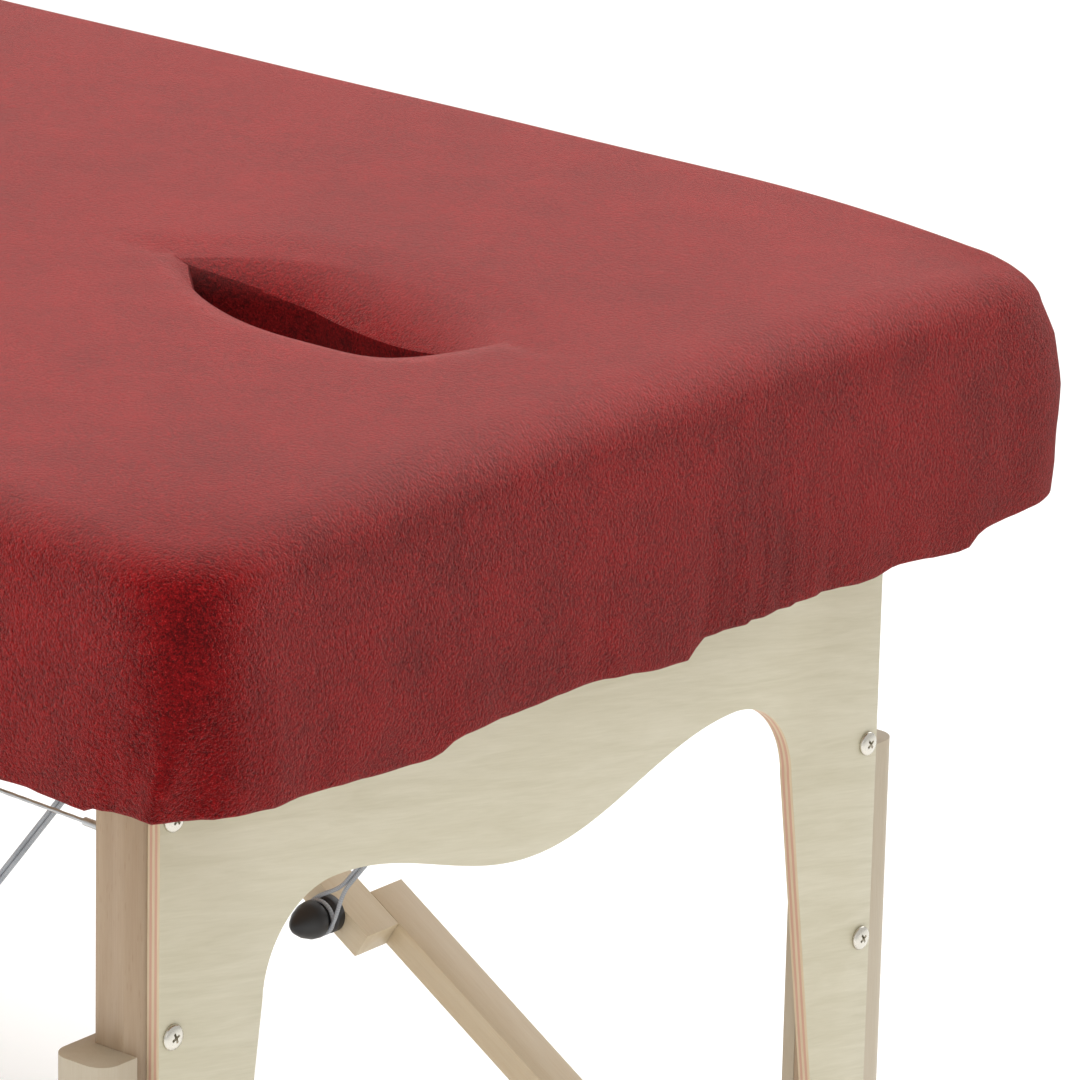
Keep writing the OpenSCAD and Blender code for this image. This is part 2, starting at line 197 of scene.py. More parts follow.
class Finish:
    """A material, and the one method that adds nodes to it."""

    def __init__(self, name, **constants):
        self.material = bpy.data.materials.new(name)
        self.material.use_nodes = True
        self.tree = self.material.node_tree
        self.shader = self.tree.nodes["Principled BSDF"]
        for key, value in constants.items():
            self.put(key.replace("_", " ").title().replace("Ior", "IOR"), value)

    def fill(self, socket, value):
        if isinstance(value, Wire):
            self.tree.links.new(value.socket, socket)
        elif hasattr(value, "__len__") and socket.type == "RGBA":
            socket.default_value = (*value[:3], 1)
        else:
            socket.default_value = value

    def node(self, kind, settings=None, values=None, out=0):
        made = self.tree.nodes.new(kind)
        for key, value in (settings or {}).items():
            setattr(made, key, value)
        for key, value in (values or {}).items():
            self.fill(made.inputs[key], value)
        return Wire(self, made.outputs[out])

    def put(self, socket, value):
        self.fill(self.shader.inputs[socket], value)

    def place(self, scale=(1, 1, 1), turn=(0, 0, 0), shift=(0, 0, 0)):
        """Object coordinates, moved, turned and stretched."""
        raw = self.node("ShaderNodeTexCoord", out="Object")
        return self.node(
            "ShaderNodeMapping",
            {"vector_type": "POINT"},
            {"Vector": raw, "Scale": scale, "Rotation": turn, "Location": shift},
        )

    def noise(self, at, scale, detail=3, rough=0.5, twist=0.0):
        values = {"Vector": at, "Scale": scale, "Detail": detail, "Roughness": rough}
        values["Distortion"] = twist
        return self.node("ShaderNodeTexNoise", None, values)

    def stretched(self, at, factors):
        return self.node("ShaderNodeVectorMath", {"operation": "MULTIPLY"}, {0: at, 1: factors})

    def cells(self, at, scale, feature="F1"):
        return self.node(
            "ShaderNodeTexVoronoi", {"feature": feature}, {"Vector": at, "Scale": scale}
        )

    def axis(self, at, name):
        return self.node("ShaderNodeSeparateXYZ", None, {"Vector": at}, out=name)

    def mix(self, factor, first, second):
        given = {"Factor": factor, 6: first, 7: second}
        return self.node("ShaderNodeMix", {"data_type": "RGBA"}, given, out=2)

    def bump(self, height, deep, strength=1.0, under=None):
        values = {"Height": height, "Distance": deep, "Strength": strength}
        if under:
            values["Normal"] = under
        return self.node("ShaderNodeBump", None, values)


def tone(r, g, b):
    """A colour given as screen values from 0 to 255, in linear light."""
    return tuple(((v / 255 + 0.055) / 1.055) ** 2.4 if v > 10 else v / 3294 for v in (r, g, b))


floor_finish = Finish("pale_floor", roughness=0.85, emission_color=(1, 1, 0.995), emission_strength=0.11)
floor_tone = floor_finish.noise(floor_finish.place(), 1.3)
floor_finish.put("Base Color", floor_finish.mix(
    floor_tone, (0.93, 0.93, 0.925), (0.95, 0.95, 0.945)))
bpy.ops.mesh.primitive_grid_add(x_subdivisions=4, y_subdivisions=4, size=60)
floor = bpy.context.object
floor.name = "floor"
floor.data.materials.append(floor_finish.material)

# %% [markdown]
# Wood is a stretched pattern. Noise squeezed across the grain gives the soft
# bands, and a much finer one gives pores. Beech also has short dark flecks,
# which are voronoi cells stretched along the grain. Every bar needs its grain
# along its own length, so the recipe takes the angle to turn the pattern by.


# %% Wood finishes
def wood(name, pale, dark, turn, flecks=0.5, bands=0.45, gloss=0.46):
    finish = Finish(name, roughness=gloss, coat_weight=0.12, coat_roughness=0.35)
    along = finish.place(turn=turn)
    long_grain = finish.stretched(along, (2.2, 26, 26))
    broad = finish.noise(long_grain, 3.0, 4, 0.55, 0.8)
    fine = finish.noise(finish.stretched(along, (16, 420, 420)), 3.0, 2, 0.6)
    fleck_cells = finish.cells(finish.stretched(along, (90, 620, 620)), 1.0)
    fleck = 1 - fleck_cells.between(0.10, 0.26)
    cloud = finish.noise(along, 9.0, 2)
    amount = (broad - 0.5) * bands * 2 + (fine - 0.5) * 0.5 + (cloud - 0.5) * 0.35 + 0.42
    amount = (amount + fleck * flecks * 0.5).held()
    finish.put("Base Color", finish.mix(amount, pale, dark))
    finish.put("Roughness", (gloss + (fine - 0.5) * 0.16).held())
    finish.put("Normal", finish.bump(fine * 0.6 + fleck * 0.3, 0.00012, 0.6))
    return finish.material


ALONG_X, ALONG_Y, ALONG_Z = (0, 0, 0), (0, 0, math.pi / 2), (0, math.pi / 2, 0)
leg_wood = wood("beech_upper_leg", tone(183, 161, 134), tone(160, 132, 104), ALONG_Z)
sleeve_wood = wood("pale_lower_leg", tone(196, 185, 165), tone(180, 163, 136), ALONG_Z, 0.3)
rail_wood = wood("beech_rail", tone(205, 178, 142), tone(176, 142, 105), ALONG_X)
cross_wood = wood("beech_cross_rail", tone(205, 178, 142), tone(176, 142, 105), ALONG_Y)
print("woods", leg_wood.name, sleeve_wood.name, rail_wood.name, cross_wood.name)

# %% [markdown]
# Plywood shows two things: a quiet face veneer, here with faint wavy lines
# that run across the panel, and a cut edge with its plies. The plies follow
# the distance through the sheet, so one pattern read along X serves both.


# %% Plywood finish
def plywood(name, first_x, thick, plies=5):
    finish = Finish(name, roughness=0.5, coat_weight=0.1, coat_roughness=0.4)
    at = finish.place()
    deep = (finish.axis(at, "X") - first_x) * (plies / thick)
    turned_at = finish.place(turn=(math.radians(11), 0, 0))
    streak = finish.noise(finish.stretched(turned_at, (1, 5.5, 60)), 1.6, 5, 0.6, 1.2)
    hair = finish.noise(finish.stretched(turned_at, (1, 30, 520)), 2.0, 2, 0.55)
    cloud = finish.noise(at, 4.5, 2)
    face_amount = ((streak - 0.5) * 1.3 + (hair - 0.5) * 0.5 + (cloud - 0.5) * 0.8 + 0.45).held()
    face = finish.mix(face_amount, tone(210, 203, 180), tone(188, 180, 152))
    knots = finish.cells(finish.place(scale=(1, 6.5, 8.5), shift=(0, 0.35, 0.2)), 1.0)
    knot = 1 - knots.between(0.012, 0.05)
    face = finish.mix(knot * 0.35, face, tone(176, 150, 116))
    ply_number = deep.whole()
    odd = ply_number.maths("PINGPONG", ply_number, 1)
    edge_grain = finish.noise(finish.place(scale=(900, 60, 60)), 1.0, 2)
    edge = finish.mix(odd, tone(214, 196, 164), tone(205, 160, 140))
    edge = finish.mix((edge_grain - 0.3).held() * 0.6, edge, tone(176, 141, 104))
    normal_x = finish.node("ShaderNodeSeparateXYZ", None, {
        "Vector": finish.node("ShaderNodeNewGeometry", out="True Normal")}, out="X")
    is_face = (normal_x * normal_x).between(0.55, 0.8)
    finish.put("Base Color", finish.mix(is_face, edge, face))
    finish.put("Roughness", (0.52 - is_face * 0.06 + (hair - 0.5) * 0.12).held())
    finish.put("Normal", finish.bump(hair * 0.5 + odd * 0.3, 0.0001, 0.5))
    return finish.material


panel_t = panel_high.x - panel_low.x
head_ply = plywood("birch_ply_head", panel_low.x, panel_t)
foot_ply = plywood("birch_ply_foot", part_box("foot_end_panel")[0].x, panel_t)

# %% [markdown]
# Steel parts are brushed or plated, so only their roughness and a hair of
# colour vary. Rubber and black plastic keep a fine moulded grain. Vinyl has
# leather-like cells, and it is what shows where the cover ends.


# %% Metal, rubber, plastic and vinyl
def metal(name, colour, rough, grain=300, stretch=(1, 1, 1)):
    finish = Finish(name, metallic=1.0)
    worn = finish.noise(finish.place(scale=stretch), grain, 3)
    smear = finish.noise(finish.place(), 40, 2)
    darker = tuple(c * 0.72 for c in colour)
    finish.put("Base Color", finish.mix(((smear - 0.35) * 1.3).held(), colour, darker))
    finish.put("Roughness", (rough + (worn - 0.5) * 0.22).held())
    finish.put("Normal", finish.bump(worn, 0.00003, 0.4))
    return finish.material


def moulded(name, colour, rough, grain, deep):
    finish = Finish(name)
    at = finish.place()
    pebble = finish.cells(at, grain)
    dust = finish.noise(at, 60, 3)
    lighter = tuple(min(1, c * 1.7 + 0.01) for c in colour)
    finish.put("Base Color", finish.mix((dust - 0.3).held(), colour, lighter))
    finish.put("Roughness", (rough + (dust - 0.5) * 0.2).held())
    finish.put("Normal", finish.bump(pebble, deep, 0.35))
    return finish.material


nickel = metal("nickel_plate", (0.66, 0.63, 0.56), 0.26)
zinc = metal("zinc_steel", (0.55, 0.56, 0.57), 0.38)
wire_steel = metal("wire_rope_steel", (0.50, 0.51, 0.52), 0.34)
black_rubber = moulded("black_rubber", (0.022, 0.022, 0.023), 0.75, 900, 0.00006)
black_plastic = moulded("black_plastic", (0.012, 0.012, 0.013), 0.42, 1400, 0.00003)
vinyl = moulded("dark_vinyl", (0.045, 0.020, 0.021), 0.48, 1000, 0.00010)

# %% [markdown]
# CAD edges are knife sharp, and real wood is eased with sandpaper. `soften`
# copies a node's mesh, joins its loose triangles, melts flat areas together
# and bevels what is left, and the copy then stands for the node.


# %% Softened copies of CAD nodes
def settled_mesh(shape, name):
    """A mesh made from a bmesh, which is then let go."""
    mesh = bpy.data.meshes.new(name)
    shape.to_mesh(mesh)
    shape.free()
    return mesh


def own_mesh(name, mesh, *materials):
    made = bpy.data.objects.new(name, mesh)
    scene.collection.objects.link(made)
    for material in materials:
        made.data.materials.append(material)
    return made


def apply_modifiers(made):
    settled = bpy.data.meshes.new_from_object(
        made.evaluated_get(bpy.context.evaluated_depsgraph_get()))
    made.modifiers.clear()
    made.data = settled
    return made


def shade(made, degrees=35):
    made.data.shade_smooth()
    made.data.set_sharp_from_angle(angle=math.radians(degrees))
    return made


def ease(made, width, over_degrees):
    """Bevel the edges that are sharper than an angle."""
    edge = made.modifiers.new("ease", "BEVEL")
    edge.width, edge.segments, edge.limit_method = width, 2, "ANGLE"
    edge.angle_limit = math.radians(over_degrees)
    bpy.context.view_layer.update()
    apply_modifiers(made)


def only_material(made, material):
    made.data.materials.clear()
    made.data.materials.append(material)


def soften(node, body, material, width):
    shape = bmesh.new()
    shape.from_mesh(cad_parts[node].data)
    bmesh.ops.remove_doubles(shape, verts=shape.verts, dist=1e-6)
    bmesh.ops.dissolve_limit(shape, angle_limit=math.radians(1.5),
                             verts=shape.verts, edges=shape.edges)
    made = own_mesh(node + "_eased", settled_mesh(shape, node))
    ease(made, width, 40)
    only_material(made, material)
    shade(made)
    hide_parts(node)
    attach(made, body)
    return made


def paint(node, material):
    """A CAD node that stays gets a finish in each of its slots."""
    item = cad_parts[node]
    if not item.material_slots:
        item.data.materials.append(material)
    for place_for in item.material_slots:
        place_for.material = material


ends = ("head", "foot")
flip = {"head": 1, "foot": -1}
for end in ends:
    soften(f"{end}_upper_legs", f"{end}_legs", leg_wood, 0.0009)
    soften(f"{end}_stretcher", f"{end}_legs", cross_wood, 0.0010)
    soften(f"{end}_side_rails", f"{end}_frame", rail_wood, 0.0015)
    soften(f"{end}_end_rail", f"{end}_frame", cross_wood, 0.0012)
    soften(f"{end}_centre_rail", f"{end}_frame", cross_wood, 0.0012)
    soften(f"{end}_pivot_blocks", f"{end}_frame", rail_wood, 0.0015)
    for hand in ("left", "right"):
        soften(f"{end}_{hand}_sleeve", f"{end}_{hand}_lower_leg", sleeve_wood, 0.0009)
        soften(f"{end}_{hand}_foot", f"{end}_{hand}_lower_leg", black_rubber, 0.0010)
        soften(f"{end}_{hand}_knob", f"{end}_{hand}_clamp", black_plastic, 0.0012)
        shade(bpy.data.objects[f"{end}_{hand}_knob_eased"], 50)

# %% [markdown]
# The braces slope, and so must their grain. The slope of a brace is read from
# its own box, less the square ends, and the pattern is turned by it.

# %% Braces
low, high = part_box("head_upper_struts")
brace_angle = math.atan2((high.z - low.z) - 0.017, (high.x - low.x))
brace_wood = {}
for end in ends:
    lean = (0, -brace_angle * flip[end], 0)
    brace_wood[end] = wood(f"beech_brace_{end}", tone(214, 200, 174), tone(196, 174, 138),
                           lean, 0.25)
    soften(f"{end}_lower_struts", f"{end}_lower_braces", brace_wood[end], 0.0012)
    soften(f"{end}_upper_struts", f"{end}_upper_braces", brace_wood[end], 0.0012)
    shade(bpy.data.objects[f"{end}_upper_struts_eased"], 30)
print("brace slope", round(math.degrees(brace_angle), 1))

# %% [markdown]
# The end panel is one sheet of birch plywood. Its arch is a smooth wave between
# two round shoulders, and below them the legs taper. The CAD panel has only
# the points that it needs, so the sheet is drawn again here from the same rule
# with many more, then given its thickness and a hair of easing on the edges.

# %% End panels
shoulder_y, shoulder_z, lobe_drop, shoulder_r = 0.157, cad_high[2] - 0.231, 0.033, 0.051
leg_inside = 0.243
panel_half = panel_high.y


def panel_outline():
    points = [(-panel_half, panel_high.z), (-panel_half, panel_low.z), (-leg_inside, panel_low.z)]
    arc = [math.radians(a) for a in np.linspace(2, 88, 30)]
    right = [(shoulder_y + shoulder_r * math.sin(a), shoulder_z - shoulder_r * (1 - math.cos(a)))
             for a in arc]
    points += [(-y, z) for y, z in reversed(right)]
    for i in range(-40, 41):
        height = shoulder_z - lobe_drop / 2 * (1 + math.cos(math.pi * i / 40))
        points.append((i * shoulder_y / 40, height))
    points += right
    return points + [(leg_inside, panel_low.z), (panel_half, panel_low.z),
                     (panel_half, panel_high.z)]


def end_panel(end):
    inner = panel_low.x if end == "head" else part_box("foot_end_panel")[0].x
    shape = bmesh.new()
    ring = [shape.verts.new((inner, y, z)) for y, z in panel_outline()]
    sheet_face = shape.faces.new(ring)
    raised = bmesh.ops.extrude_face_region(shape, geom=[sheet_face])
    moved = [v for v in raised["geom"] if isinstance(v, bmesh.types.BMVert)]
    bmesh.ops.translate(shape, verts=moved, vec=(panel_t, 0, 0))
    bmesh.ops.recalc_face_normals(shape, faces=shape.faces)
    made = own_mesh(f"{end}_end_panel_sheet", settled_mesh(shape, f"{end}_panel"))
    ease(made, 0.0006, 60)
    only_material(made, head_ply if end == "head" else foot_ply)
    shade(made, 40)
    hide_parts(f"{end}_end_panel")
    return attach(made, f"{end}_legs")


for end in ends:
    print(end_panel(end).name, "drawn with", len(panel_outline()), "outline points")

# %% [markdown]
# The cover is fleece: a knitted base with raised fibres. Fibres catch light at
# grazing angles, which is what sheen does, so the top looks paler than the
# sides. Above the roll the colour is also painted paler, as painted sheen.
# Clumps of fibre give fine mottling, and a slow drift in the colour keeps the
# large flat areas from looking printed. A darker copy without sheen is painted
# shade inside the face opening.


# %% Fleece finish
def fleece_cloth(name, light=1.0, pile=0.56):
    # Every colour is scaled by light; the darker copy uses this for painted shade.
    def fleece_tone(r, g, b):
        return tuple(c * light for c in tone(r, g, b))

    finish = Finish(name, roughness=0.95, sheen_weight=pile, sheen_roughness=0.27,
                    sheen_tint=tone(255, 165, 160), specular_ior_level=0.08)
    at = finish.place()
    clump = finish.noise(at, 540, 3, 0.65, 0.35)
    curl = finish.noise(at, 1150, 3, 0.7, 0.5)
    pressed = finish.noise(at, 34, 4, 0.6)
    drift = finish.noise(at, 7.5, 3, 0.55)
    amount = (clump - 0.5) * 1.9 + (curl - 0.5) * 2.2 + (pressed - 0.5) * 0.7 + (drift - 0.5) * 0.6
    colour = finish.mix((amount * 1.1 + 0.45).held(), fleece_tone(74, 5, 7), fleece_tone(152, 17, 20))
    # Painted sheen: above the roll the colour is mixed towards a pale pink, by height.
    painted_top_sheen = finish.axis(at, "Z").between(0.722, 0.7475) * 0.20
    colour = finish.mix(painted_top_sheen, colour, fleece_tone(205, 130, 128))
    tips = curl.between(0.55, 0.70) * clump.between(0.48, 0.62)
    finish.put("Base Color", finish.mix(tips * 0.6, colour, fleece_tone(202, 62, 62)))
    finish.put("Roughness", (0.93 + (clump - 0.5) * 0.1).held())
    height = clump * 0.9 + curl * 0.6 + pressed * 0.6
    finish.put("Normal", finish.bump(height, 0.0021, 1.0))
    return finish.material


fleece = fleece_cloth("red_fleece")
# A darker copy of the fleece without sheen: painted shade, used inside the face opening.
painted_shade_fleece = fleece_cloth("red_fleece_painted_shade", 0.62, 0.0)

# %% [markdown]
# The cover is one fitted sheet over both halves. Its shape comes from how it is
# worn: flat on the pad, rolled over the pad's edge, then down past the frame to
# an elastic hem that is turned under. The skirt is a set of rings round one
# outline. Each ring has a depth below the top and an offset outwards, and both
# vary along the outline, for wrinkles, corner gathers and hem droops.

# %% Outline of the cover
half_l, half_w = cad_high[0], -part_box("head_cover")[0].y
corner_r, edge_r, cloth_t = 0.066, 0.035, 0.0016
column_step = 0.0072


def cover_outline():
    """Corner-centre points with outward normals, all the way round."""
    inner_x, inner_y = half_l - corner_r, half_w - corner_r
    columns = []
    corners = [(inner_x, -inner_y, -90), (inner_x, inner_y, 0),
               (-inner_x, inner_y, 90), (-inner_x, -inner_y, 180)]
    turns = 20
    for number, (cx, cy, first) in enumerate(corners):
        for i in range(turns + 1):
            a = math.radians(first + 90 * i / turns)
            columns.append((cx, cy, math.cos(a), math.sin(a)))
        nx, ny = math.cos(a), math.sin(a)
        next_x, next_y, _ = corners[(number + 1) % 4]
        span = math.hypot(next_x - cx, next_y - cy)
        steps = round(span / column_step)
        columns += [(cx + (next_x - cx) * i / steps, cy + (next_y - cy) * i / steps, nx, ny)
                    for i in range(1, steps)]
    return columns


columns = cover_outline()
print("cover outline columns", len(columns))


# %% [markdown]
# These small functions say how the skirt is worn. `hem_depth` holds the level
# of the hem with its droops, which fall slowly on one side and spring back on
# the other, as elastic between stitches does. `skirt_push` holds the bulge past
# the frame, the upright wrinkles and the gathers at the corners.

# %% How the skirt hangs
droops = [(-0.180, 0.0070, 0.06, 0.010), (0.010, 0.0080, 0.045, 0.009),
          (0.160, 0.0035, 0.035, 0.015), (0.240, 0.0070, 0.045, 0.007)]


def droop(at, where, deep, before, after):
    gap = at - where
    return deep * math.exp(-((gap / (before if gap < 0 else after)) ** 2))


def hem_depth(x, y, nx, ny):
    wander = noise.noise(Vector((x * 9, y * 9, 3.1)))
    fine = noise.noise(Vector((x * 70, y * 70, 8.4)))
    depth = 0.1345 + 0.0022 * wander + 0.0007 * fine
    if x > 0 and nx > 0.5:
        depth += sum(droop(y, *each) for each in droops)
    else:
        along = x if abs(ny) > 0.5 else y
        depth += 0.005 * max(0, noise.noise(Vector((along * 7.3, ny * 5, nx * 4))) - 0.15) * 2
    return depth


def lean_out(depth):
    """Offset of the side from the nominal size, down the skirt."""
    marks = [(0.035, -0.0065), (0.050, -0.0030), (0.072, 0.0004), (0.095, 0.0030),
             (0.118, 0.0036), (0.150, 0.0012)]
    return float(np.interp(depth, *zip(*marks)))


def corner_bulge(depth):
    """The cloth is fuller at the corners, most of all just under the roll."""
    marks = [(0.0, 0.0), (0.020, 0.0012), (0.035, 0.0042), (0.052, 0.0078), (0.078, 0.0082),
             (0.098, 0.0056), (0.118, 0.0040), (0.150, 0.0022)]
    return float(np.interp(depth, *zip(*marks)))


def skirt_push(x, y, nx, ny, depth):
    down = min(1, max(0, (depth - 0.045) / 0.09))
    corner = 4 * (nx * ny) ** 2
    push = lean_out(depth) + corner * corner_bulge(depth)
    along = y if abs(nx) > 0.7 else x
    tall = noise.noise(Vector((along * 22, nx * 9 + ny * 5, depth * 6)))
    small = noise.noise(Vector((along * 60 + 4, nx * 5, depth * 11)))
    slack = noise.noise(Vector((x * 5, y * 5, 2.0)))
    push += down ** 1.4 * (0.0020 * tall + 0.0010 * small + 0.0012 * slack)
    if abs(nx) > 0.7:
        bunch = math.exp(-((along - 0.075) / 0.055) ** 2)
        push += down * bunch * 0.0016 * math.sin(along * 330 + depth * 25)
    return push


def corner_tuck(nx, ny, depth):
    """A fold that overlaps itself beside each corner, sharper on one side."""
    if depth < 0.078:
        return 0
    grow = min(1, (depth - 0.078) / 0.045)
    if abs(nx) < 1e-6 or abs(ny) < 1e-6:
        return 0
    turn = math.degrees(math.atan2(abs(ny), abs(nx)))
    gap = turn - 52 - 190 * (depth - 0.09)
    ridge = math.exp(-(gap / (8 if gap < 0 else 3.2)) ** 2)
    valley = 0.35 * math.exp(-((gap + 15) / 7) ** 2)
    return 0.0052 * grow * (ridge - valley)


# %% [markdown]
# The top is meshed as a flat map: its outline, the lens-shaped rim of the face
# opening and a grid of points between them, joined by a constrained Delaunay
# triangulation. The rim's near side is steep and its far side is a soft dip,
# because the cloth is pushed in there by hand and stays stretched at the ends.

# %% Face opening
rim_x, rim_half_l, rim_near, rim_far = half_l - 0.2185, 0.1105, 0.069, 0.052
inner_x, inner_half_l, inner_half_w, inner_deep = rim_x, 0.1085, 0.0265, 0.0205


def inner_half(u):
    """Half width of the opening in the dip; it is widest towards the middle of the table."""
    peak = -0.35
    if u < peak:
        return inner_half_w * (1 - ((peak - u) / (1 + peak)) ** 2)
    return inner_half_w * max(0, 1 - (u - peak) / (1 - peak)) ** 1.3


def near_wall(u, depth):
    """Half width of the near wall, steep under its crest."""
    return max(0.0, rim_half(u, True) - 0.004 - 0.24 * depth)


def inner_depth(u):
    return inner_deep * (1 - abs(u) ** 2.4)


def rim_half(u, near):
    if near:
        peak = 0.27
        if u < peak:
            return rim_near * (1 - ((peak - u) / (1 + peak)) ** 2)
        return rim_near * (1 - ((u - peak) / (1 - peak)) ** 6)
    return rim_far * (1 - abs(u) ** 2.6)


def lens_ring(count, half_of, centre, half_length):
    ring = []
    for i in range(count):
        a = 2 * math.pi * i / count
        u = math.cos(a)
        ring.append(Vector((centre + half_length * u,
                            half_of(u, math.sin(a) < 0) * (1 if math.sin(a) >= 0 else -1))))
    return ring


rim_ring = lens_ring(120, rim_half, rim_x, rim_half_l)
inner_ring = lens_ring(120, lambda u, near: near_wall(u, 0.02) if near else inner_half(u),
                       inner_x, inner_half_l)


def top_height(x, y):
    """A slight crown, shallow dents and the slope into the face opening."""
    crown = 0.0022 * (abs(y) / 0.31) ** 4 + 0.0012 * (abs(x) / 0.91) ** 8
    near_end = min(1, max(0, (abs(x) - 0.72) / 0.195))
    near_side = min(1, max(0, (abs(y) - 0.13) / 0.18))
    crown += 0.0125 * near_end ** 2 * near_side ** 2
    dents = 0.0006 * noise.noise(Vector((x * 7, y * 7, 0))) + 0.0004
    u = (x - rim_x) / (rim_half_l + 0.012)
    near = y < 0
    edge = rim_half(max(-1, min(1, u)), near) if abs(u) < 1 else 0
    gap = max(0.0, abs(y) - edge) + max(0.0, abs(u) - 1) * rim_half_l
    sink = (0.0016 if near else 0.0042) * math.exp(-(gap / (0.006 if near else 0.016)) ** 2)
    return top_z - crown - dents - sink


# %% Cover mesh
roll_rings, skirt_rings = 8, 18


def past_corner(x, y):
    """How far a point is past the centre of the nearest rounded corner."""
    return Vector((max(0, abs(x) - (half_l - corner_r)),
                   max(0, abs(y) - (half_w - corner_r)))).length


def build_cover():
    shape = bmesh.new()
    edge_in = corner_r - edge_r

    def skirt_point(column, depth, push):
        cx, cy, nx, ny = column
        reach = corner_r + push
        return Vector((cx + nx * reach, cy + ny * reach, top_z - depth))

    outline_2d = [Vector((c[0] + c[2] * edge_in, c[1] + c[3] * edge_in)) for c in columns]
    flat = list(outline_2d)
    edges = [(i, (i + 1) % len(flat)) for i in range(len(flat))]
    first = len(flat)
    flat += rim_ring
    count = len(rim_ring)
    edges += [(first + i, first + (i + 1) % count) for i in range(count)]
    step = 0.0105
    half_x, half_y = half_l - edge_r, half_w - edge_r
    rows = int(2 * half_y / (step * 0.87))
    for row in range(1, rows):
        y = -half_y + row * 2 * half_y / rows
        across = int(2 * half_x / step)
        for i in range(1, across):
            x = -half_x + (i + 0.5 * (row % 2)) * 2 * half_x / across
            if past_corner(x, y) > edge_in - 0.005 or abs(x) > half_x - 0.005 or abs(y) > half_y - 0.005:
                continue
            u = (x - rim_x) / (rim_half_l + 0.006)
            if abs(u) < 1 and abs(y) < rim_half(max(-1, min(1, u)), y < 0) + 0.005:
                continue
            flat.append(Vector((x, y)))
    points, _, faces, *_ = geometry.delaunay_2d_cdt(flat, edges, [], 0, 1e-6)

    def in_rim(x, y):
        u = (x - rim_x) / rim_half_l
        return abs(u) < 1 and abs(y) < rim_half(u, y < 0) - 1e-4

    top = [shape.verts.new((p.x, p.y, top_height(p.x, p.y))) for p in points]
    for face in faces:
        cx = sum(points[i].x for i in face) / len(face)
        cy = sum(points[i].y for i in face) / len(face)
        if in_rim(cx, cy) or past_corner(cx, cy) > edge_in + 1e-5:
            continue
        shape.faces.new([top[i] for i in face])
    for vert in [v for v in shape.verts if not v.link_faces]:
        shape.verts.remove(vert)

    rings = [[(p.x, p.y, top_height(p.x, p.y)) for p in outline_2d]]
    for i in range(1, roll_rings + 1):
        a = math.radians(90 * i / roll_rings)
        ring = []
        for column, flat_point in zip(columns, outline_2d):
            base = top_z - top_height(flat_point.x, flat_point.y)
            reach = edge_r * math.sin(a) - edge_r + lean_out(edge_r) * math.sin(a)
            drop = base + (edge_r - base) * (1 - math.cos(a))
            reach += 4 * (column[2] * column[3]) ** 2 * corner_bulge(drop) * math.sin(a)
            ring.append(skirt_point(column, drop, reach))
        rings.append(ring)
    hems = [hem_depth(c[0] + c[2] * corner_r, c[1] + c[3] * corner_r, c[2], c[3])
            for c in columns]
    for i in range(1, skirt_rings + 1):
        share = i / skirt_rings
        ring = []
        for column, hem in zip(columns, hems):
            depth = edge_r + (hem - edge_r) * share
            x, y = column[0] + column[2] * corner_r, column[1] + column[3] * corner_r
            push = skirt_push(x, y, column[2], column[3], depth)
            push += corner_tuck(column[2], column[3], depth)
            ring.append(skirt_point(column, depth, push))
        rings.append(ring)
    bottom = rings[-1]
    for inward, up in ((0.0005, -0.0015), (0.0016, -0.0022), (0.0030, -0.0010),
                       (0.0036, 0.0030), (0.0034, 0.0090), (0.0032, 0.0150)):
        rings.append([Vector((p.x - c[2] * inward, p.y - c[3] * inward, p.z + up))
                      for p, c in zip(bottom, columns)])

    def strip(loops):
        made = [[shape.verts.new(p) for p in loop] for loop in loops]
        for upper, lower in zip(made, made[1:]):
            for i in range(len(upper)):
                j = (i + 1) % len(upper)
                shape.faces.new((upper[i], upper[j], lower[j], lower[i]))

    strip(rings)
    lips = [[(p.x, p.y, top_height(p.x, p.y)) for p in rim_ring]]
    for share in (0.08, 0.18, 0.30, 0.44, 0.58, 0.72, 0.85, 0.94, 1.0):
        ring = []
        for outer, inner in zip(rim_ring, inner_ring):
            start = top_height(outer.x, outer.y)
            near = outer.y < 0
            sunk = share ** (0.55 if near else 1.15) * inner_depth((inner.x - inner_x) / rim_half_l)
            flat_at = outer.lerp(inner, share ** (1.25 if near else 0.95))
            ring.append((flat_at.x, flat_at.y, start - sunk))
        lips.append(ring)
    edge_of_lip = lips[-1]
    for share, wide in ((0.12, 0.985), (0.3, 0.98), (0.5, 0.98), (0.75, 0.98), (1.0, 0.98)):
        lips.append([(inner_x + (p.x - inner_x) * wide,
                      p.y * wide if p.y > 0 else min(0, p.y + 0.0065 * share),
                      e[2] + (top_z - 0.047 - e[2]) * share)
                     for p, e in zip(inner_ring, edge_of_lip)])
    strip(lips[::-1])
    # Faces deep inside the face opening take the second, darker finish: painted shade.
    for face in shape.faces:
        middle = face.calc_center_median()
        u = (middle.x - inner_x) / inner_half_l
        within = near_wall(u, 0.02) if middle.y < 0 else inner_half(u)
        if abs(u) < 1 and abs(middle.y) < within + 0.0004 \
                and middle.z < top_z - inner_depth(u) - 0.0012:
            face.material_index = 1
    bmesh.ops.remove_doubles(shape, verts=shape.verts, dist=2e-5)
    bmesh.ops.recalc_face_normals(shape, faces=shape.faces)
    area = sum(f.calc_area() for f in shape.faces)
    return settled_mesh(shape, "cover"), area


cover_mesh, cover_area = build_cover()
cover = own_mesh("fleece_cover", cover_mesh, fleece, painted_shade_fleece)
thick = cover.modifiers.new("thickness", "SOLIDIFY")
thick.thickness, thick.offset = cloth_t, -1
apply_modifiers(cover)
cover.data.shade_smooth()
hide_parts("head_cover", "foot_cover")
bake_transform(cover)
print("cover area m2", round(cover_area, 2), "faces", len(cover.data.polygons))

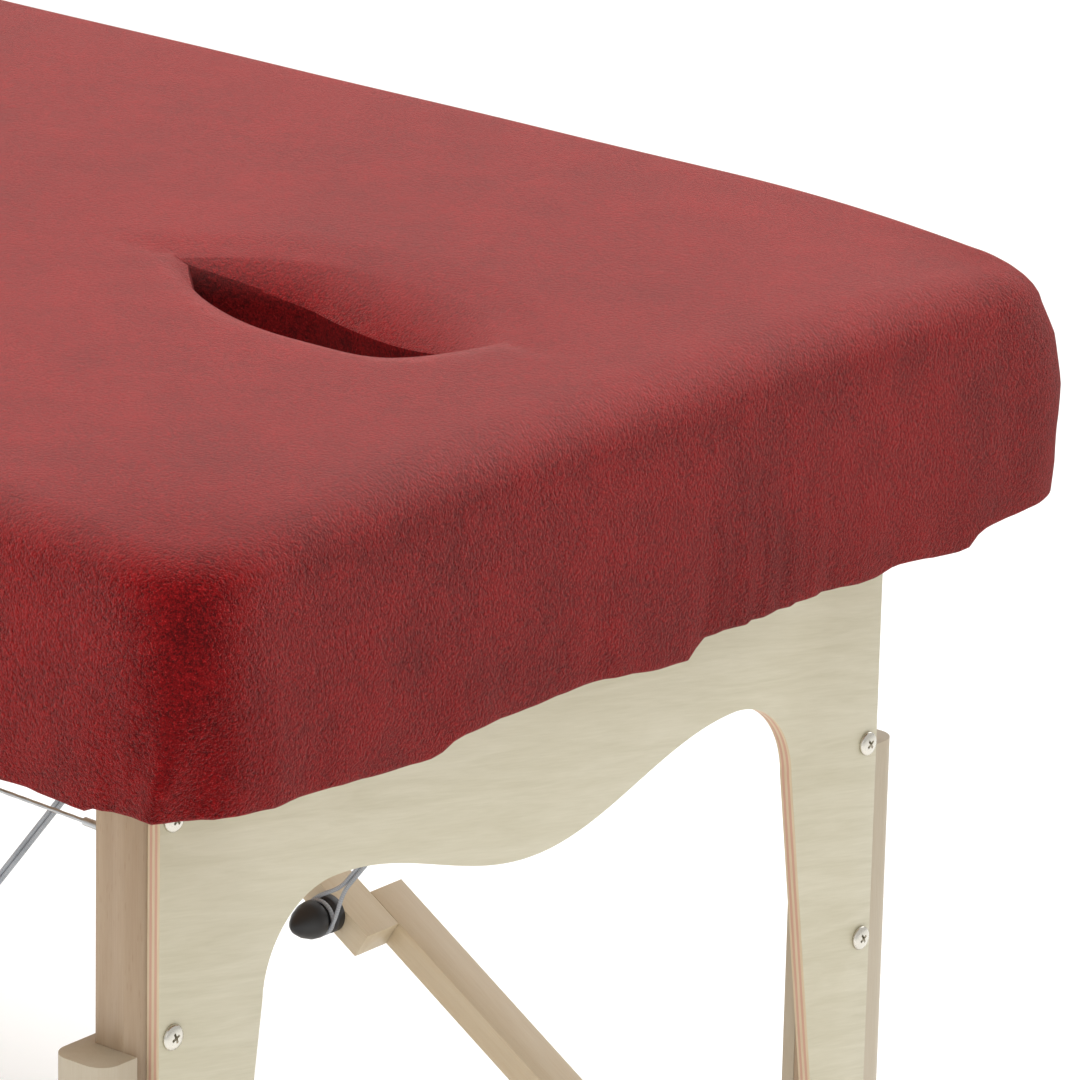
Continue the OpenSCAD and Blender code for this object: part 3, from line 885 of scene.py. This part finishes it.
# %% [markdown]
# Under the cover lie two vinyl pads. Each starts as a copy of its CAD solid,
# remeshed so that its edges roll. A seam runs round its side, where top and
# side panels are sewn, and the sides pull in a little at that seam. Every
# point is then held inside the cover, with a hair of room to spare.


# %% Pads
def inside_cover(point):
    x, y, z = point
    depth = max(0.0, top_z - z)
    cx, cy = half_l - corner_r, half_w - corner_r
    away = Vector((max(0, abs(x) - cx), max(0, abs(y) - cy)))
    seam = 0.0016 * math.exp(-(((depth - 0.040) / 0.0035) ** 2))
    room = cloth_t + 0.0022 + seam
    base = top_z - top_height(x, y)
    if depth < edge_r:
        share = min(1, max(0, (edge_r - depth) / (edge_r - base)))
        roll = edge_r * (1 - math.sqrt(1 - share ** 2))
        limit = corner_r - roll + lean_out(edge_r) * (1 - roll / edge_r) - room
    else:
        limit = corner_r + lean_out(depth) - room
    if away.length > limit:
        away *= limit / away.length
        if abs(x) > cx:
            x = math.copysign(cx + away.x, x)
        if abs(y) > cy:
            y = math.copysign(cy + away.y, y)
    top = top_height(x, y) - cloth_t - 0.0014
    u = (x - rim_x) / rim_half_l
    if abs(u) < 1:
        near = y < 0
        edge = rim_half(u, near)
        if near and abs(y) < near_wall(u, depth) + 0.0045:
            y = -near_wall(u, depth) - 0.0045
        core = near_wall(u, 0.02) if near else inner_half(u)
        if abs(y) < edge and edge > core:
            share = min(1, (edge - abs(y)) / (edge - core))
            top -= inner_depth(u) * share ** (0.5 if near else 1.2) + 0.0025
    return Vector((x, y, min(z, top)))


def soft_pad(end):
    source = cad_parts[f"{end}_pad"].data.copy()
    made = own_mesh(f"{end}_vinyl_pad", source)
    remesh = made.modifiers.new("even", "REMESH")
    remesh.mode, remesh.voxel_size = "VOXEL", 0.0062
    smooth = made.modifiers.new("roll", "SMOOTH")
    smooth.iterations, smooth.factor = 3, 0.5
    apply_modifiers(made)
    for vert in made.data.vertices:
        vert.co = inside_cover(vert.co)
    only_material(made, vinyl)
    made.data.shade_smooth()
    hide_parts(f"{end}_pad")
    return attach(made, f"{end}_frame")


pads = [soft_pad(end) for end in ends]
# The flat size is an estimate. Where the mesh is smaller than that rectangle,
# its own area stands in for the flat one, and the area test then says nothing.
print("pads", [len(pad.data.polygons) for pad in pads])

# %% [markdown]
# The panel screws have pan heads with a cross recess, cut by a boolean from a
# lathed head. One head is modelled, and a node group puts a copy on each screw
# point with a different turn, because no two screws stop at the same angle.


# %% Pan-head screws
def lathe(name, profile, segments=40):
    shape = bmesh.new()
    verts = [shape.verts.new((r, 0, z)) for r, z in profile]
    for a, b in zip(verts, verts[1:]):
        shape.edges.new((a, b))
    bmesh.ops.spin(shape, geom=shape.verts[:] + shape.edges[:], cent=(0, 0, 0), axis=(0, 0, 1),
                   angle=2 * math.pi, steps=segments, use_merge=True)
    bmesh.ops.remove_doubles(shape, verts=shape.verts, dist=1e-7)
    bmesh.ops.recalc_face_normals(shape, faces=shape.faces)
    return settled_mesh(shape, name)


def slot_cutter(reach, width, low, high, turn):
    """One arm of the cross: a bar that narrows downwards, turned about Z."""
    shape = bmesh.new()
    for v in bmesh.ops.create_cube(shape, size=1)["verts"]:
        above = v.co.z > 0
        x = v.co.x * 2 * reach * (1.0 if above else 0.35)
        y = v.co.y * width * (1.0 if above else 0.7)
        v.co = (x * math.cos(turn) - y * math.sin(turn),
                x * math.sin(turn) + y * math.cos(turn), high if above else low)
    bmesh.ops.recalc_face_normals(shape, faces=shape.faces)
    return settled_mesh(shape, "slot")


screw_low, screw_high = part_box("head_panel_screws")
head_r = 0.0066
head_h = screw_high.x - screw_low.x
dome = [(0, 0), (head_r * 0.97, 0), (head_r, head_h * 0.14), (head_r * 0.985, head_h * 0.42),
        (head_r * 0.90, head_h * 0.68), (head_r * 0.70, head_h * 0.87),
        (head_r * 0.40, head_h * 0.97), (0, head_h)]
screw_head = own_mesh("screw_head", lathe("screw_head", dome))
for turn in (0, math.pi / 2):
    arm = slot_cutter(head_r * 0.55, head_r * 0.24, head_h * 0.2, head_h * 1.4, turn)
    cutter = own_mesh("cutter", arm)
    cut = screw_head.modifiers.new("cross", "BOOLEAN")
    cut.operation, cut.solver, cut.object = "DIFFERENCE", "EXACT", cutter
    bpy.context.view_layer.update()
    apply_modifiers(screw_head)
    bpy.data.objects.remove(cutter)
print("screw head faces", len(screw_head.data.polygons))
shade(screw_head, 38)


def scatter_group(name, copy_of, material):
    """Nodes that put a copy of one mesh on every point, each turned by chance."""
    group = bpy.data.node_groups.new(name, "GeometryNodeTree")
    face = group.interface
    face.new_socket("Geometry", in_out="INPUT", socket_type="NodeSocketGeometry")
    copy_in = face.new_socket("Copy", in_out="INPUT", socket_type="NodeSocketObject")
    seed_in = face.new_socket("Seed", in_out="INPUT", socket_type="NodeSocketInt")
    lean_in = face.new_socket("Face Turn", in_out="INPUT", socket_type="NodeSocketVector")
    face.new_socket("Geometry", in_out="OUTPUT", socket_type="NodeSocketGeometry")
    copy_in.default_value, seed_in.default_value = copy_of, 7
    lean_in.default_value = (0, math.pi / 2, 0)

    def node(kind, **values):
        made = group.nodes.new(kind)
        for key, value in values.items():
            made.inputs[key].default_value = value
        return made

    given, result = node("NodeGroupInput"), node("NodeGroupOutput")
    info, put = node("GeometryNodeObjectInfo"), node("GeometryNodeInstanceOnPoints")
    chance = node("FunctionNodeRandomValue")
    spin, real = node("GeometryNodeRotateInstances"), node("GeometryNodeRealizeInstances")
    paint_it = node("GeometryNodeSetMaterial", Material=material)
    turn = node("ShaderNodeCombineXYZ")
    link = group.links.new
    link(given.outputs["Copy"], info.inputs["Object"])
    link(given.outputs["Seed"], chance.inputs["Seed"])
    link(given.outputs["Geometry"], put.inputs["Points"])
    link(info.outputs["Geometry"], put.inputs["Instance"])
    link(given.outputs["Face Turn"], put.inputs["Rotation"])
    link(chance.outputs[1], turn.inputs["Z"])
    chance.inputs[3].default_value = math.tau
    link(put.outputs["Instances"], spin.inputs["Instances"])
    link(turn.outputs[0], spin.inputs["Rotation"])
    link(spin.outputs["Instances"], real.inputs["Geometry"])
    link(real.outputs["Geometry"], paint_it.inputs["Geometry"])
    link(paint_it.outputs["Geometry"], result.inputs[0])
    return group


screw_group = scatter_group("screws_on_points", screw_head, nickel)
screw_pitch = (screw_high.z - screw_low.z - 2 * head_r) / 3
for end in ends:
    low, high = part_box(f"{end}_panel_screws")
    outward = flip[end]
    base_x = low.x if outward > 0 else high.x
    mesh = bpy.data.meshes.new("screw_points")
    mesh.from_pydata([(base_x, side * (high.y - head_r), low.z + head_r + i * screw_pitch)
                      for side in (-1, 1) for i in range(4)], [], [])
    made = own_mesh(f"{end}_screw_heads", mesh)
    nodes = made.modifiers.new("scatter", "NODES")
    nodes.node_group = screw_group
    keys = {item.name: item.identifier for item in screw_group.interface.items_tree
            if item.in_out == "INPUT"}
    nodes[keys["Copy"]] = screw_head
    nodes[keys["Seed"]] = 7 if end == "head" else 19
    nodes[keys["Face Turn"]] = (0, outward * math.pi / 2, 0)
    bpy.context.view_layer.update()
    apply_modifiers(made)
    only_material(made, nickel)
    shade(made, 38)
    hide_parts(f"{end}_panel_screws")
    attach(made, f"{end}_legs")
    print(made.name, "faces", len(made.data.polygons))
bpy.data.objects.remove(screw_head)

# %% [markdown]
# A cord is a tube swept along a path. The frame of the tube is carried from
# point to point without twisting, and a UV map measures metres along it, so a
# braid or a lay keeps its size. Wire rope gets six strands by pushing the
# radius in and out as a helix.


# %% Sweeping a tube
def sweep(shape, path, radius, sides=14, closed=False, strands=0, lay=0.008):
    uv = shape.loops.layers.uv.verify()
    path = [Vector(p) for p in path]
    count = len(path)
    up = Vector((0, 1, 0))
    rings, along = [], [0.0]
    for i, point in enumerate(path):
        before = path[i - 1] if i or closed else point
        after = path[(i + 1) % count] if i < count - 1 or closed else point
        ahead = (after - before).normalized()
        up = (up - ahead * up.dot(ahead)).normalized()
        across = ahead.cross(up)
        ring = []
        for k in range(sides):
            a = math.tau * k / sides
            r = radius
            if strands:
                r *= 0.86 + 0.14 * abs(math.cos(strands / 2 * (a - math.tau * along[-1] / lay)))
            ring.append(shape.verts.new(point + (across * math.cos(a) + up * math.sin(a)) * r))
        rings.append(ring)
        along.append(along[-1] + (path[(i + 1) % count] - point).length)
    loops = count if closed else count - 1
    for i in range(loops):
        j = (i + 1) % count
        for k in range(sides):
            m = (k + 1) % sides
            face = shape.faces.new((rings[i][k], rings[j][k], rings[j][m], rings[i][m]))
            spots = ((k, i), (k, i + 1), (k + 1, i + 1), (k + 1, i))
            for loop, (round_at, step) in zip(face.loops, spots):
                loop[uv].uv = (round_at / sides, along[step])
    if not closed:
        shape.faces.new(rings[0][::-1])
        shape.faces.new(rings[-1])
    return along[loops]


def finish_mesh(name, shape, *materials):
    bmesh.ops.recalc_face_normals(shape, faces=shape.faces)
    return shade(own_mesh(name, settled_mesh(shape, name), *materials), 60)


def resample(path, step):
    """The same line with points about one step apart."""
    out = []
    for a, b in zip(path, path[1:]):
        parts = max(1, round((b - a).length / step))
        out += [a.lerp(b, i / parts) for i in range(parts)]
    return out + [path[-1]]


def braided(name, light, dark):
    finish = Finish(name, roughness=0.6)
    uv = finish.node("ShaderNodeUVMap")
    around, along = finish.axis(uv, "X"), finish.axis(uv, "Y")
    over = (around * 4 + along * 330).maths("SINE", (around * 4 + along * 330) * math.tau)
    under = (around * 4 - along * 330).maths("SINE", (around * 4 - along * 330) * math.tau)
    weave = (over * under) * 0.5 + 0.5
    grime = finish.noise(finish.place(), 90, 3)
    finish.put("Base Color", finish.mix((weave * 0.5 + (grime - 0.4) * 0.8).held(), dark, light))
    finish.put("Roughness", (0.62 - weave * 0.12).held())
    finish.put("Normal", finish.bump(weave, 0.0002, 0.7))
    return finish.material


cord_grey = braided("grey_braided_cord", tone(196, 200, 206), tone(140, 145, 152))

# %% [markdown]
# The stay is one doubled cord on each side. It goes twice round the groove of
# the cone peg, runs up to the screw eye in the stretcher, passes through it
# and is held by a crimped sleeve. Its ends come from the boxes of the peg and
# of the eye, so the cord follows if the frame changes.

# %% Stays
cord_r = 0.0012
parting = 0.032                 # the two strands part over this length above the peg
strand_shift = 0.0012           # how far a strand shifts along the peg
hook_r = 0.0036
hook_points = 20


def middle_of(node):
    """Centre in X and Z of a paired node."""
    low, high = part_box(node)
    return Vector(((low.x + high.x) / 2, 0, (low.z + high.z) / 2))


def stay_path(peg, eye, y, groove):
    away = (eye - peg).normalized()
    across = Vector((-away.z, 0, away.x))
    crimp = eye - away * 0.024
    start = math.atan2(across.z, across.x)
    turns = 1.5
    loops = 64
    run = (crimp - peg).length

    def strand(way, from_peg):
        """One strand: beside the other, until it parts to meet the groove."""
        part = 0.5 - 0.5 * math.cos(math.pi * min(1, from_peg / parting))
        off = groove + (cord_r * 1.05 - groove) * part
        lift = way * strand_shift * (1 - part)
        return peg + away * from_peg + across * (off * way) + Vector((0, y + lift, 0))

    stations = [run, *[parting + (run - parting) * k / 12 for k in range(11, 0, -1)],
                *[parting * k / 9 for k in range(9, 0, -1)]]
    path = [strand(1, d) for d in stations]
    for i in range(loops + 1):
        a = start + math.tau * turns * i / loops
        side_y = y + strand_shift - 2 * strand_shift * i / loops
        path.append(peg + Vector((math.cos(a) * groove, side_y, math.sin(a) * groove)))
    path += [strand(-1, d) for d in stations[::-1]]
    hook = eye - away * 0.005
    for i in range(hook_points + 1):
        a = math.pi * 0.25 + math.pi * 1.5 * i / hook_points
        path.append(hook + Vector((0, y, 0)) - away * (hook_r * math.cos(a))
                    - Vector((0, 1, 0)) * (hook_r * math.sin(a)))
    return path, crimp + Vector((0, y, 0)), away


stay_lengths = []
folded_in, folded_down = 0.0167, 0.187      # from the eye to the peg, legs folded
for end in ends:
    shape, crimps = bmesh.new(), []
    peg = middle_of(f"{end}_pegs")
    eyes_low, eyes_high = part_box(f"{end}_stay_eyes")
    outer_r = 0.0064
    eye_x = eyes_low.x + outer_r if end == "head" else eyes_high.x - outer_r
    eye = Vector((eye_x, 0, (eyes_low.z + eyes_high.z) / 2))
    stay_y = eyes_high.y - 0.0014
    for side in (-1, 1):
        path, crimp, away = stay_path(peg, eye, side * stay_y, 0.0085 + cord_r)
        stay_lengths.append(sweep(shape, path, cord_r, 12, closed=True))
        crimps.append((crimp, away))
    made = finish_mesh(f"{end}_stay_cords", shape, cord_grey)
    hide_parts(f"{end}_stays")
    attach(made, f"{end}_legs")
    folded_peg = Vector((eye.x + flip[end] * folded_in, 0, eye.z - folded_down))
    pull = folded_peg - peg
    axis = pull.normalized()
    reach = abs((peg - eye).dot(axis))
    round((reach - pull.length) / reach, 3)
    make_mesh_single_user(made)
    ferrules = bmesh.new()
    for crimp, away in crimps:
        sweep(ferrules, [crimp + away * d for d in (-0.006, -0.0056, 0.0056, 0.006)], 0.0034, 20)
    sleeve = finish_mesh(f"{end}_stay_crimps", ferrules, zinc)
    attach(sleeve, f"{end}_legs")
print("stay cord lengths m", [round(v, 3) for v in stay_lengths])

# %% [markdown]
# The tie is thin bare wire rope from the back of each upper leg to a screw eye
# beside the middle joint. It is taut when the table stands. When the legs fold,
# their end of it moves in and up.

# %% Ties
tie_lengths = []
folding_in, folding_up = 0.068, 0.082       # how the leg's end of a tie moves
for end in ends:
    shape, sleeves = bmesh.new(), bmesh.new()
    low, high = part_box(f"{end}_ties")
    near_x, far_x = (low.x, high.x) if end == "head" else (high.x, low.x)
    tie_y = high.y - 0.001
    eye = Vector((near_x - flip[end] * 0.002, 0, high.z - 0.001))
    leg = Vector((far_x, 0, low.z + 0.001))
    for side in (-1, 1):
        run = [eye + Vector((0, side * tie_y, 0)), leg + Vector((0, side * tie_y, 0))]
        tie_lengths.append(sweep(shape, resample(run, 0.0013), 0.0011, 18, strands=6, lay=0.009))
        way = (run[1] - run[0]).normalized()
        for spot, out in ((run[0], 0.010), (run[1], -0.012)):
            middle = spot + way * out
            sweep(sleeves, [middle + way * d for d in (-0.005, -0.0046, 0.0046, 0.005)], 0.0021, 16)
    made = finish_mesh(f"{end}_wire_ropes", shape, wire_steel)
    crimped = finish_mesh(f"{end}_rope_crimps", sleeves, zinc)
    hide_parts(f"{end}_ties")
    move = Vector((-flip[end] * folding_in, 0, folding_up))
    axis = move.normalized()
    reach = abs((leg - eye).dot(axis))
    for piece, slot_name in ((made, "wire_rope"), (crimped, "steel")):
        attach(piece, f"{end}_frame")
        round((reach - move.length) / reach, 3)
        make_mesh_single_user(piece)
print("tie lengths m", [round(v, 3) for v in tie_lengths])

# %% [markdown]
# What is left are CAD nodes whose shape is right: plates, bolts, eyes, the long
# hinge and the thin deck. They get a finish and keep their mesh.

# %% Finishes for the rest
deck_ply = plywood("birch_ply_deck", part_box("head_deck")[0].x, 0.03)
for end in ends:
    paint(f"{end}_deck", deck_ply)
    paint(f"{end}_corner_blocks", rail_wood)
    for part in ("frame_bolts", "leg_bolts", "strut_brackets"):
        paint(f"{end}_{part}", zinc)
    for part in ("tie_eyes", "stay_eyes", "hinge_leaf"):
        paint(f"{end}_{part}", nickel)
    soften(f"{end}_pegs", f"{end}_upper_braces", black_plastic, 0.0004)
paint("hinge_pin", nickel)
